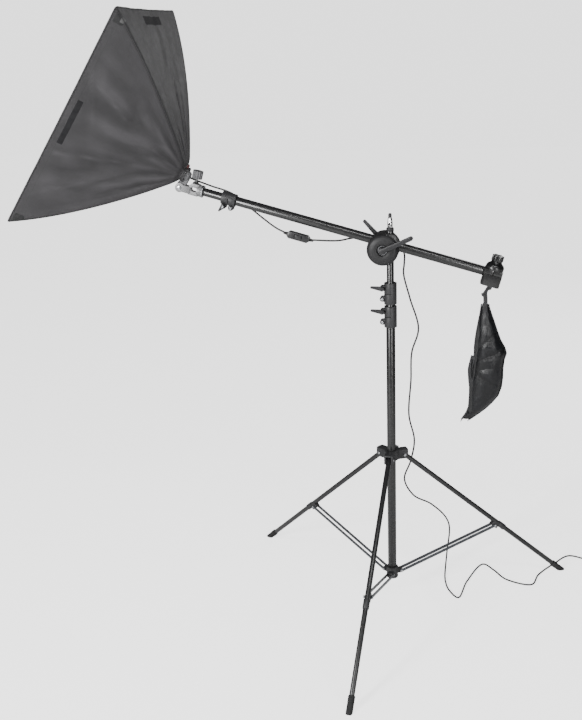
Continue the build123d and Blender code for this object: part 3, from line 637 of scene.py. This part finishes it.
def fix_normals(obj):
    bm = bmesh.new()
    bm.from_mesh(obj.data)
    bmesh.ops.recalc_face_normals(bm, faces=bm.faces)
    bm.to_mesh(obj.data)
    bm.free()


patch_on_panel("velcro_top", 0, (-66, 82), (291, 314), VELCRO, 1.6)
patch_on_panel("velcro_far", 1, (-70, 70), (294, 316), VELCRO, 1.6)
patch_on_panel("velcro_bottom", 2, (-70, 70), (292, 315), VELCRO, 1.6)
patch_on_panel("velcro_near", 3, (-66, 76), (296, 312), VELCRO, 1.6)


def build_diffuser():
    """The white front: a slightly crowned sheet with a hem and small puckers round its rim."""
    columns, rows = 60, 46
    depth = MOUTH - 14.0
    half_x = box_half(depth, LONG_HALF) - 6.0
    half_y = box_half(depth, SHORT_HALF) - 6.0
    verts, uvs = [], []
    for row in range(rows):
        for column in range(columns):
            a = 2 * column / (columns - 1) - 1
            b = 2 * row / (rows - 1) - 1
            crown = (1 - a ** 4) * (1 - b ** 4)
            rim = max(abs(a), abs(b))
            pucker = smoothstep((rim - 0.86) / 0.14) * sin(70 * (a if abs(b) > abs(a) else b)) * 0.8
            wave = noise.noise(Vector((a * 2.2, b * 1.8, 4.0))) * 1.6 * (1 - rim ** 3)
            edge_x = half_x * a - (3.5 * (1 - b * b) * a ** 9)
            edge_y = half_y * b - (3.0 * (1 - a * a) * b ** 9)
            height = depth + 5.0 * crown + wave + pucker
            verts.append(box_point(edge_x, edge_y, height))
            uvs.append((edge_x * MM, edge_y * MM))
    faces = grid_faces(rows, columns, closed=False)
    sheet = add_mesh("diffuser_cloth", verts, faces, LOOKS["white_cloth"], "softbox", uvs)
    solid = sheet.modifiers.new("thickness", "SOLIDIFY")
    solid.thickness = 0.0008
    solid.offset = 0
    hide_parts("diffuser")
    hem = []
    along = depth_rows(-1, 1, 40)[:-1]
    outline = [(t, -1) for t in along] + [(1, t) for t in along]
    outline += [(-a, -b) for a, b in outline]
    for a, b in outline:
        hem.append(box_point((half_x - 5) * a, (half_y - 5) * b, depth + 1.0))
    swept("diffuser_hem", hem, 4.5, 0.9, LOOKS["white_cloth"], "softbox", 8, FRONT, True)
    return sheet


build_diffuser()


def build_drawcord():
    """The cord that gathers the fabric's neck on the lamp holder, with its stopper."""
    ring = []
    for i in range(72):
        angle = 2 * pi * i / 72
        radius = CINCH_R + 1.5 + 0.4 * sin(18 * angle)
        ring.append(box_point(radius * cos(angle), radius * sin(angle), CINCH - 0.8))
    swept("drawcord", ring, 1.3, 1.3, PIPING, "softbox", 8, closed=True)
    root = box_point(24, -9, -2)
    bends = ((0, 0, 0), (5, -3, 4), (9, -5, 9), (10, -7, 2))
    tail = curve_path([root + Vector(bend) for bend in bends], 1.5)
    swept("drawcord_end", tail, 1.2, 1.2, DRAWCORD, "softbox", 8)
    stopper = [(0.3, 0), (3.0, 0.4), (4.0, 2.5), (4.2, 6.0), (3.4, 9.0), (1.2, 10.4), (0.3, 10.6)]
    place = root + Vector((0, -1, -2))
    turned("drawcord_stopper", stopper, place, BOX_UP, DRAWCORD, "softbox", 20)


build_drawcord()


for number, (side, way) in enumerate(((1, -1), (1, 1), (3, -1), (3, 1))):
    far = way * (LONG_HALF - 14)
    near = way * (LONG_HALF - 40)
    patch_on_panel(f"corner_pocket_{number}", side, (min(far, near), max(far, near)), (296, 325), PIPING, 1.3)
patch_on_panel("corner_tag", 3, (318, 333), (296, 306), TAG, 2.4)

# ------------------------------------------------------------------ sandbag
# height, low x, high x, half depth, in millimetres, from the neck to the slanted foot
BAG_LEVELS = (
    (1046, 276, 294, 5), (1030, 274, 297, 9), (1012, 272, 303, 14), (990, 268, 311, 19), (960, 263, 321, 25),
    (930, 259, 332, 29), (905, 257, 346, 31), (888, 257, 351, 32), (868, 256, 345, 33), (840, 252, 342, 34),
    (810, 248, 342, 35), (780, 245, 339, 34), (752, 245, 330, 32), (728, 244, 312, 27), (708, 243, 293, 21),
    (692, 236, 274, 14), (676, 226, 254, 7), (668, 221, 243, 3),
)


# creases across the bag: height at x = 300, slope and depth
BAG_CREASES = ((884, 0.42, 4.2), (846, 0.15, 2.6), (806, -0.5, 3.2), (760, 0.7, 2.4), (936, 0.9, 3.0))


def sharp_wave(value):
    """Folds with narrow valleys between rounded backs."""
    return abs(sin(value)) ** 0.65 - 0.62


def level_at(z):
    for upper, lower in zip(BAG_LEVELS, BAG_LEVELS[1:]):
        if upper[0] >= z >= lower[0]:
            t = (upper[0] - z) / (upper[0] - lower[0])
            return [upper[i] + (lower[i] - upper[i]) * t for i in range(4)]
    return list(BAG_LEVELS[-1])


CLOTH_FRAMES = 20


def pad_by_cloth(obj, pressure, cap, voxel):
    """Remeshes a closed piece, inflates it as cloth, limits each point's travel and applies it."""
    bpy.context.view_layer.objects.active = obj
    remesh = obj.modifiers.new("remesh", "REMESH")
    remesh.mode = "VOXEL"
    remesh.voxel_size = voxel
    bake_modifiers(obj)
    rest = [v.co.copy() for v in obj.data.vertices]
    cloth = obj.modifiers.new("cloth", "CLOTH")
    cloth.settings.quality = 6
    cloth.settings.mass = 0.25
    cloth.settings.tension_stiffness = 18
    cloth.settings.compression_stiffness = 8
    cloth.settings.shear_stiffness = 6
    cloth.settings.bending_stiffness = 0.3
    cloth.settings.use_pressure = True
    cloth.settings.uniform_pressure_force = pressure
    cloth.settings.effector_weights.gravity = 0
    cloth.collision_settings.use_collision = False
    cloth.point_cache.frame_start = 1
    cloth.point_cache.frame_end = CLOTH_FRAMES
    for number in range(1, CLOTH_FRAMES + 1):
        bpy.context.scene.frame_set(number)
    bake_modifiers(obj)
    bpy.context.scene.frame_set(1)
    for vertex, start in zip(obj.data.vertices, rest):
        outward = vertex.co.y - start.y
        vertex.co = start + Vector((0, max(-cap, min(outward, cap)), 0))


def bake_modifiers(obj):
    """Replaces a mesh with the shape its modifiers give it."""
    graph = bpy.context.evaluated_depsgraph_get()
    graph.update()
    shaped = bpy.data.meshes.new_from_object(obj.evaluated_get(graph))
    obj.modifiers.clear()
    old = obj.data
    obj.data = shaped
    bpy.data.meshes.remove(old)
    obj.data.polygons.foreach_set("use_smooth", [True] * len(obj.data.polygons))


def build_sandbag():
    """Two cloth faces sewn at their edges over sand, hanging in diagonal folds."""
    columns = 48
    heights = []
    for upper, lower in zip(BAG_LEVELS, BAG_LEVELS[1:]):
        heights += depth_rows(upper[0], lower[0], 4)[:-1]
    heights.append(BAG_LEVELS[-1][0])
    verts = []
    for z in heights:
        _, low, high, depth = level_at(z)
        for column in range(columns):
            angle = 2 * pi * column / columns
            s = cos(angle)
            y = depth * 0.93 * (1 - s * s) ** 0.6 * (1 if sin(angle) >= 0 else -1)
            verts.append((0.5 * (low + high) + 0.5 * (high - low) * s * 0.985, BOOM_Y + y, z))
    faces = grid_faces(len(heights), columns)
    faces.append(tuple(range(columns))[::-1])
    faces.append(tuple(range((len(heights) - 1) * columns, len(heights) * columns)))
    bag = add_mesh("sandbag_cloth", verts, faces, LOOKS["sandbag_nylon"])
    fix_normals(bag)
    pad_by_cloth(bag, 4.0, 0.006, 0.0048)
    fold_shade = []
    for vertex in bag.data.vertices:
        x, y, z = vertex.co / MM
        level = level_at(min(max(z, 668), 1046))
        s = (2 * x - level[1] - level[2]) / (level[2] - level[1])
        inner = max(1 - s * s, 0.0) ** 0.5
        wobble = 30 * noise.noise(Vector((x / 55, y / 40, z / 75)))
        slant = (z - 700) * 0.8 - (x - 240) * 0.6 + wobble
        rising = (z - 700) * 0.5 + (x - 240) * 0.9 + 0.8 * wobble
        high = smoothstep((z - 800) / 60)
        fold = 3.0 * sharp_wave(slant / 30.0) * high + 2.6 * sharp_wave(rising / 26.0) * (1 - 0.4 * high)
        fold += 3.0 * noise.noise(Vector((x / 24, y / 22, z / 28)))
        for height, slope, depth in BAG_CREASES:
            fold -= depth * exp(-abs(z - height - slope * (x - 300)) / 5.0)
        fade = smoothstep((1040 - z) / 70) * smoothstep((z - 668) / 40)
        direction = -1 if y < BOOM_Y else 1
        vertex.co.y += direction * fold * inner * fade * MM
        # painted shade in the fold valleys and painted highlight on the fold backs
        fold_shade.append(min(max(-0.42 * fold * fade, -1.0), 1.0))
    store_fold_shade(bag, fold_shade)
    subdivide = bag.modifiers.new("smooth", "SUBSURF")
    subdivide.levels = 1
    subdivide.render_levels = 1
    bake_modifiers(bag)
    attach(bag, "sandbag")
    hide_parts("sandbag")
    return bag


build_sandbag()


def build_sandbag_trim():
    """Edge bindings, webbing neck, side strap with its buckle and the two pointed ends."""
    for label, column in (("left", 1), ("right", 2)):
        line = []
        for z in depth_rows(1040, 669, 90):
            level = level_at(z)
            line.append(Vector((level[column] + (-0.5 if column == 1 else 0.5), BOOM_Y, z)))
        swept(f"sandbag_binding_{label}", line, 2.2, 3.4, PIPING, "sandbag", 10, (1, 0, 0))
    for number, y in ((1, -5.5), (2, 5.5)):
        line = curve_path(
            [(284, BOOM_Y, 1071), (285, BOOM_Y + y * 0.7, 1066), (286, BOOM_Y + y * 1.1, 1050),
             (286, BOOM_Y + y * 1.6, 1030), (285, BOOM_Y + y * 2.3, 1006)], 3.0)
        swept(f"sandbag_webbing_{number}", line, 6.5, 1.1, WEBBING, "sandbag", 12, (1, 0, 0))
    band = []
    for z in depth_rows(1000, 700, 60):
        band.append(Vector((level_at(z)[1] + 5.0, BOOM_Y - 3.0 - 9.0 * smoothstep((1000 - z) / 60), z)))
    swept("sandbag_side_band", band, 9.0, 2.4, PIPING, "sandbag", 12, (0.8, -0.6, 0))
    buckle = []
    for u, z in ((-6, 812), (6, 812), (9, 824), (9, 852), (6, 866), (-6, 866), (-9, 852), (-9, 824)):
        buckle.append(Vector((251 + 0.6 * u, BOOM_Y - 12 + 0.8 * u, z)))
    swept(
        "sandbag_buckle", curve_path(buckle + buckle[:1], 4.0)[:-1], 3.0, 2.6, LOOKS["lever_plastic"],
        "sandbag", 8, closed=True
    )
    strap = curve_path([(254, BOOM_Y - 8, 880), (247, BOOM_Y - 13, 850), (245, BOOM_Y - 14, 838),
                        (247, BOOM_Y - 12, 800), (250, BOOM_Y - 9, 774)], 3.0)
    swept("sandbag_strap", strap, 8.0, 1.3, WEBBING, "sandbag", 12, (1, -0.5, 0))
    for label, start, end in (("a", (244, -4, 712), (219, -6, 664)), ("b", (268, 5, 706), (240, 4, 662))):
        line = curve_path([(start[0], BOOM_Y + start[1], start[2]),
                           ((start[0] + end[0]) / 2 + 2, BOOM_Y + start[1], (start[2] + end[2]) / 2),
                           (end[0], BOOM_Y + end[1], end[2])], 3.0)
        tip = swept(
            f"sandbag_tip_{label}", line, 4.0, 1.2, WEBBING, "sandbag", 10, (0.8, 0, 0.6)
        )
        count = len(line)
        for i, vertex in enumerate(tip.data.vertices):
            share = (i // 10) / (count - 1)
            middle = Vector(line[i // 10]) * MM
            vertex.co = middle + (vertex.co - middle) * (1 - 0.75 * share)


build_sandbag_trim()
strap_points = ((298, 1097), (293, 1090), (287, 1080), (281, 1071), (274, 1068))
strap_line = curve_path([(x, BOOM_Y, z) for x, z in strap_points], 2.0)
swept("hook_strap", strap_line, 5.0, 2.6, WEBBING, "sandbag_hook", 12, (1, 0, 0))

# ------------------------------------------------------------------ cables
CABLE_R = 2.8
LAMP_CABLE = [
    box_point(0, 0, -25.5), Vector((-590, -11, 1412)), Vector((-546, -5, 1394)), boom_point(503, 14, 22),
    Vector((-430, -13, 1332)), Vector((-378, -27, 1294)), Vector((-340, -39, 1270)),
    boom_point(305, -51, -12),
]
DROP_CABLE = [
    boom_point(231, -51, -12), (-154, -30, 1230), (-118, -4, 1232), (-90, 50, 1222),
    (-30, 62, 1184), (20, 54, 1194), (39, 34, 1178), (40, 26, 1150), (38, 24, 1118), (57, 28, 1039),
    (83, 32, 941), (62, 37, 860), (59, 42, 767), (52, 50, 644), (69, 54, 556), (57, 58, 480),
    (36, 63, 410), (65, 76, 347), (123, 112, 299), (178, 190, 190), (172, 222, 60), (168, 190, 2.9),
    (172, 120, 2.9), (187, 62, 2.9), (219, 18, 2.9), (246, 128, 2.9), (300, 252, 2.9),
    (337, 215, 2.9), (380, 157, 2.9), (462, 134, 2.9), (490, 205, 2.9), (548, 290, 2.9),
    (602, 351, 2.9), (660, 334, 2.9), (712, 322, 2.9),
]


def nearest(path, point):
    return min(range(len(path)), key=lambda i: (path[i] - Vector(point)).length)


def cable_piece(name, path, first, last, bodies, replaces=None):
    """A length of cable that rides on one body, or spans two and is left unattached to either."""
    points = path[first:last + 1]
    piece = swept(name, points, CABLE_R, CABLE_R, LOOKS["cable_rubber"], sides=12)
    if len(bodies) == 1:
        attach(piece, bodies[0])
    else:
        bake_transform(piece)
    if replaces:
        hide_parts(replaces)
    return piece


lamp_path = curve_path(LAMP_CABLE, 4.0)
lamp_cuts = (nearest(lamp_path, (-565, -15, 1405)), nearest(lamp_path, boom_point(503, 14, 22)))
cuts = [0, *lamp_cuts, len(lamp_path) - 1]
cable_piece("cable_at_lamp", lamp_path, cuts[0], cuts[1], ("lamp_head", "boom_extension"), "cable_lamp")
cable_piece("cable_at_extension", lamp_path, cuts[1], cuts[2], ("boom_extension", "boom"))
cable_piece("cable_to_switch", lamp_path, cuts[2], cuts[3], ("boom",))

drop_path = [Vector((point.x, point.y, max(point.z, CABLE_R))) for point in curve_path(DROP_CABLE, 4.0)]
marks = [
    (-180, -36, 1226), (-118, -4, 1232), (-30, 62, 1184), (40, 26, 1150), (40, 24, 1102), (57, 28, 1039),
    (62, 37, 860),
]
cuts = [0] + [nearest(drop_path, m) for m in marks] + [len(drop_path) - 1]
runs = (
    ("cable_from_switch", ("boom",)),
    ("cable_by_head_disc", ("boom", "boom_holder")),
    ("cable_behind_head", ("boom_holder", "head_base")),
    ("cable_beside_head", ("head_base",)),
    ("cable_below_head", ("head_base", "top_section")),
    ("cable_by_top_tube", ("top_section", "middle_section")),
    ("cable_by_middle_tube", ("middle_section", "stand_base")),
    ("cable_to_floor", ("stand_base",)),
)
for (name, bodies), first, last in zip(runs, cuts, cuts[1:]):
    cable_piece(name, drop_path, first, last, bodies, "cable_drop" if name == "cable_to_floor" else None)


def build_plug():
    body = [
        (2.9, -14), (4.2, -12), (4.4, -2), (9.0, 1), (13.0, 8), (13.6, 24), (12.6, 36), (11.6, 40),
        (4.0, 40.6),
    ]
    look = LOOKS["cable_rubber"]
    plug = turned("plug_body", body, (712, 322, 9.5), (1, 0, 0), look, "stand_base", 32)
    for vertex in plug.data.vertices:
        height = vertex.co.z - 0.0095
        vertex.co.z = 0.0095 + max(min(height, 0.0085), -0.0092)
    for number, y in ((1, 315.2), (2, 328.8)):
        pin = [(752, y), (771, y)]
        verts = []
        for x, yy in pin:
            for dy, dz in ((-0.8, -3), (0.8, -3), (0.8, 3), (-0.8, 3)):
                verts.append((x, yy + dy, 9.5 + dz))
        faces = [(0, 3, 2, 1), (4, 5, 6, 7)] + [(i, (i + 1) % 4, (i + 1) % 4 + 4, i + 4) for i in range(4)]
        add_mesh(f"plug_pin_{number}", verts, faces, LOOKS["zinc"], "stand_base")


build_plug()

# strain reliefs where the cable enters the switch
for number, (station, way) in enumerate(((305.0, 1), (231.0, -1)), 1):
    sleeve = [
        (3.0, 12), (3.9, 11), (4.1, 7.5), (3.7, 7), (4.6, 6.5), (4.8, 3), (4.4, 2.5), (5.6, 2),
        (5.8, -2), (3.0, -2.4),
    ]
    turned(f"switch_sleeve_{number}", sleeve, boom_point(station - way * 2, -51, -12), BOOM_ALONG * way,
           LOOKS["cable_rubber"], "boom", 20)

# ------------------------------------------------------------------ bright hardware
CAP = [(4.6, 0), (5.0, 0.5), (4.9, 1.6), (4.1, 2.6), (2.6, 3.1), (2.4, 2.2), (0.4, 2.1)]


def bolt_cap(name, centre, axis, body, size=1.0):
    profile = [(r * size, h * size) for r, h in CAP]
    return turned(name, profile, centre, axis, LOOKS["zinc"], body, 24)


CLAMP_X = -24.5
for name, z, body in (("lower", 971, "stand_base"), ("upper", 1044, "middle_section")):
    for label, way in (("front", -1), ("back", 1)):
        bolt_cap(f"{name}_clamp_cap_{label}", (CLAMP_X, way * 12.6, z), (0, way, 0), body)
for name, z, body in (("lower", 1005, "lower_clamp_lever"), ("upper", 1078, "upper_clamp_lever")):
    bolt_cap(f"{name}_lever_cap", (CLAMP_X, 12.7, z), (0, 1, 0), body, 0.9)
for label, way in (("front", -1), ("back", 1)):
    bolt_cap(f"boom_clamp_cap_{label}", boom_point(491.5, -24.5, way * 12.6), (0, way, 0), "boom", 1.05)
bolt_cap("boom_lever_cap", boom_point(514.5, -24.5, -21.2), (0, -1, 0), "boom_clamp_lever", 1.05)

for name, azimuth in LEG_AZIMUTHS.items():
    radial = Vector((cos(azimuth), sin(azimuth), 0))
    sideways = Vector((-sin(azimuth), cos(azimuth), 0))
    for label, way in (("a", -1), ("b", 1)):
        at = radial * 364.2 + UP * 216.9 + sideways * (way * 12.9)
        bolt_cap(f"leg_rivet_{name}_{label}", at, sideways * way, "brace_" + name, 0.85)
    # grip rings round the rubber foot
    down = radial * sin(radians(48.1)) - UP * cos(radians(48.1))
    hub = radial * 41.0 + UP * 523.0
    for number, along in enumerate((739, 746, 753), 1):
        ring = [(9.8, -1.6), (10.7, -0.9), (10.9, 0), (10.7, 0.9), (9.8, 1.6)]
        turned(
            f"foot_ring_{name}_{number}", ring, hub + down * along, down, LOOKS["rubber"],
            "leg_" + name, 32
        )
    collar = [(8.05, -15), (9.6, -14.6), (10.2, -13.5), (10.2, 13.5), (9.6, 14.6), (8.05, 15)]
    look = LOOKS["clamp_plastic"]
    turned(f"leg_sleeve_{name}", collar, hub + down * 470, down, look, "leg_" + name, 32)

ring = [(12.6, -0.8), (18.0, -0.8), (18.8, 0), (18.8, 4.4), (18.1, 5.2), (12.6, 5.2)]
turned("bracket_collar", ring, boom_point(586), BOOM_ALONG, LOOKS["zinc"], "boom_extension", 40)
washer = [(3.2, 0), (9.4, 0), (9.8, 0.5), (9.8, 2.0), (7.5, 2.6), (7.2, 5.4), (3.2, 5.4)]
turned(
    "knob_washer", washer, boom_point(614, 18.1), BOOM_UP, LOOKS["rubber"], "bracket_knob", 32
)
end_cap = [(0.4, -3.2), (11.0, -3.2), (13.2, -2.2), (13.9, 0.2), (13.9, 1.0), (12.4, 1.2), (0.4, 1.2)]
turned("boom_end_cap", end_cap, boom_point(-300), BOOM_ALONG, LOOKS["rubber"], "boom", 32)

# raised ribs on the lower collar's sleeve and the hub's rim
for number, z in enumerate((84.0, 114.0), 1):
    band = [(18.9, -1.4), (19.7, -0.9), (19.9, 0), (19.7, 0.9), (18.9, 1.4)]
    look = LOOKS["clamp_plastic"]
    turned(f"collar_band_{number}", band, (0, 0, z), (0, 0, 1), look, "stand_base", 48)


# ------------------------------------------------------------------ stage
AMBIENT = 0.07
BACKDROP = 2.1
# name, place, target, width and height in metres, watts
LIGHTS = (
    ("key", (-2.6, -3.6, 2.0), (-0.5, 0, 1.2), (0.5, 1.6), 190),
    ("fill", (2.2, -3.4, 1.5), (0, 0, 0.9), (0.5, 1.8), 60),
    ("streak", (0.6, -1.8, 3.4), (0.3, 0, 1.1), (2.6, 0.2), 34),
    ("rim", (1.6, 3.4, 2.6), (-0.1, 0, 1.0), (1.2, 1.6), 26),
)


def build_stage():
    size = 14000
    corners = [(-size, -size, -1), (size, -size, -1), (size, size, -1), (-size, size, -1)]
    floor = add_mesh("floor", corners, [(0, 1, 2, 3)], floor_finish())
    world = bpy.data.worlds.new("studio")
    bpy.context.scene.world = world
    world.use_nodes = True
    background = world.node_tree.nodes["Background"]
    background.inputs["Color"].default_value = (1.0, 1.0, 1.0, 1.0)
    seen = put(world.node_tree, "ShaderNodeLightPath").outputs["Is Camera Ray"]
    strength = ranged(world.node_tree, seen, AMBIENT, BACKDROP, 0.0, 1.0)
    world.node_tree.links.new(strength, background.inputs["Strength"])
    for name, place, target, size, power in LIGHTS:
        data = bpy.data.lights.new(name, "AREA")
        data.energy = power
        data.shape = "RECTANGLE"
        data.size, data.size_y = size
        light = bpy.data.objects.new(name, data)
        light.location = place
        light.rotation_euler = (Vector(target) - Vector(place)).to_track_quat("-Z", "Y").to_euler()
        bpy.context.scene.collection.objects.link(light)


def floor_finish():
    mat, tree, shader, coords = new_material("pale_floor")
    soft = noise_factor(tree, coords.outputs["Object"], 0.8, 2.0)
    tint = mixed(tree, soft, (0.93, 0.93, 0.93, 1), (0.96, 0.96, 0.96, 1))
    tree.links.new(tint, shader.inputs["Base Color"])
    shader.inputs["Roughness"].default_value = 0.9
    seen = put(tree, "ShaderNodeLightPath").outputs["Is Camera Ray"]
    glow = ranged(tree, seen, 0.0, BACKDROP * 0.98, 0.0, 1.0)
    shader.inputs["Emission Color"].default_value = (1.0, 1.0, 1.0, 1.0)
    tree.links.new(glow, shader.inputs["Emission Strength"])
    return mat


def build_camera():
    azimuth, pitch, roll = radians(12.0), radians(18.031), radians(-2.292)
    view = Vector((-sin(azimuth) * cos(pitch), cos(azimuth) * cos(pitch), -sin(pitch)))
    right = Vector((cos(azimuth), sin(azimuth), 0))
    up = right.cross(view)
    rolled_right = cos(roll) * right + sin(roll) * up
    rolled_up = -sin(roll) * right + cos(roll) * up
    data = bpy.data.cameras.new("camera")
    data.sensor_fit = "VERTICAL"
    data.sensor_height = 36.0
    data.lens = 48.75
    data.clip_end = 100.0
    camera = bpy.data.objects.new("camera", data)
    basis = Matrix((rolled_right, rolled_up, -view)).transposed().to_4x4()
    camera.matrix_world = Matrix.Translation(Vector((0.29693, -2.90049, 1.80264))) @ basis
    bpy.context.scene.collection.objects.link(camera)
    bpy.context.scene.camera = camera


build_stage()
build_camera()
